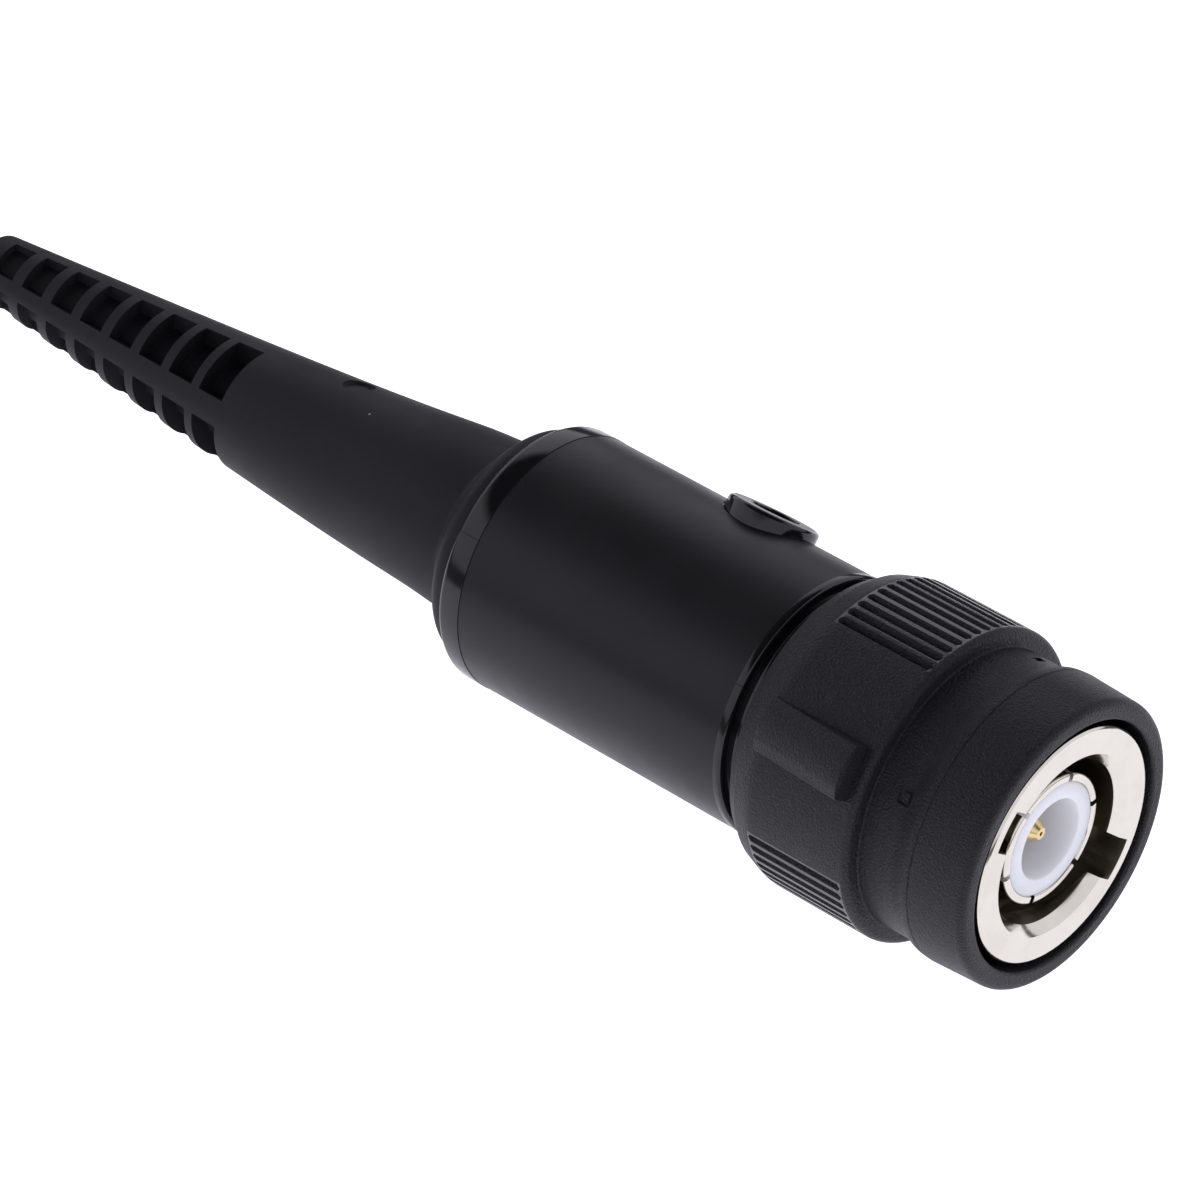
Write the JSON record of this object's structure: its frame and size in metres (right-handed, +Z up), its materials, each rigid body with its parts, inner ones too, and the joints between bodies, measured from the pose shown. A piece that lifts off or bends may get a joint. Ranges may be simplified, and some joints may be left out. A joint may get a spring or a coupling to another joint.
{
  "type": "oscilloscope probe plug",
  "caption": "Scope-end plug of a voltage probe: turning insulated bayonet coupling, round compensation barrel with trimmer, and slotted strain-relief boot.",
  "frame": {"origin": "on the common axis in the plane of the outer contact's rim, the reference plane of the bayonet coupling", "axes": "+X along the common axis out of the plug's mouth, +Z up as the probe lies on a bench"},
  "size_m": [0.0865, 0.0198, 0.0194],
  "materials": {
    "plug_body": "nickel-plated brass",
    "outer_contact": "nickel-plated spring brass",
    "face_gasket": "silicone rubber",
    "front_insulator": "white fluoropolymer",
    "rear_insulator": "white fluoropolymer",
    "centre_pin": "gold-plated brass",
    "lock_washer": "zinc-plated steel",
    "body_nut": "nickel-plated brass",
    "shield_can": "tinned brass",
    "circuit_board": "green solder mask",
    "ground_tabs": "tinned brass",
    "trimmer_body": "ceramic and moulded base",
    "trimmer_terminals": "tinned brass",
    "chip_resistors": "glazed ceramic chips",
    "chip_capacitors": "ceramic chips",
    "cable_ferrule": "nickel-plated brass",
    "crimp_sleeve": "nickel-plated copper alloy",
    "shell_trimmer_side": "polished black plastic",
    "shell_plain_side": "polished black plastic",
    "label_film": "satin black film",
    "strain_relief_boot": "soft black rubber",
    "wave_washer": "spring steel",
    "thrust_washer": "plain steel",
    "coupling_sleeve": "spark-eroded black plastic",
    "bayonet_ring": "bright nickel plate",
    "retaining_clip": "spring steel",
    "trimmer_rotor": "black adjuster"
  },
  "bodies": {
    "box": {"plug_body": "plug_body", "outer_contact": "outer_contact", "face_gasket": "face_gasket", "front_insulator": "front_insulator", "rear_insulator": "rear_insulator", "centre_pin": "centre_pin", "lock_washer": "lock_washer", "body_nut": "body_nut", "shield_can": "shield_can", "circuit_board": "circuit_board", "ground_tabs": "ground_tabs", "trimmer_body": "trimmer_body", "trimmer_terminals": "trimmer_terminals", "chip_resistors": "chip_resistors", "chip_capacitors": "chip_capacitors", "cable_ferrule": "cable_ferrule", "crimp_sleeve": "crimp_sleeve", "shell_trimmer_side": "shell_trimmer_side", "shell_plain_side": "shell_plain_side", "label_film": "label_film", "strain_relief_boot": "strain_relief_boot", "wave_washer": "wave_washer"},
    "float_washer": {"thrust_washer": "thrust_washer"},
    "coupling": {"coupling_sleeve": "coupling_sleeve", "bayonet_ring": "bayonet_ring", "retaining_clip": "retaining_clip"},
    "trimmer": {"trimmer_rotor": "trimmer_rotor"}
  },
  "joints": [
    {"name": "coupling_float", "type": "slide", "parent": "box", "child": "float_washer", "axis": [1, 0, 0], "range_m": [0, 0.0006], "stiffness_N_per_m": 4000, "deforming": ["wave_washer"]},
    {"name": "coupling_turn", "type": "hinge", "parent": "float_washer", "child": "coupling", "pos_m": [0, 0, 0], "axis": [1, 0, 0], "continuous": true},
    {"name": "trimmer_turn", "type": "hinge", "parent": "box", "child": "trimmer", "pos_m": [-0.0253, 0, 0], "axis": [0, 0.6361, 0.7716], "continuous": true}
  ]
}
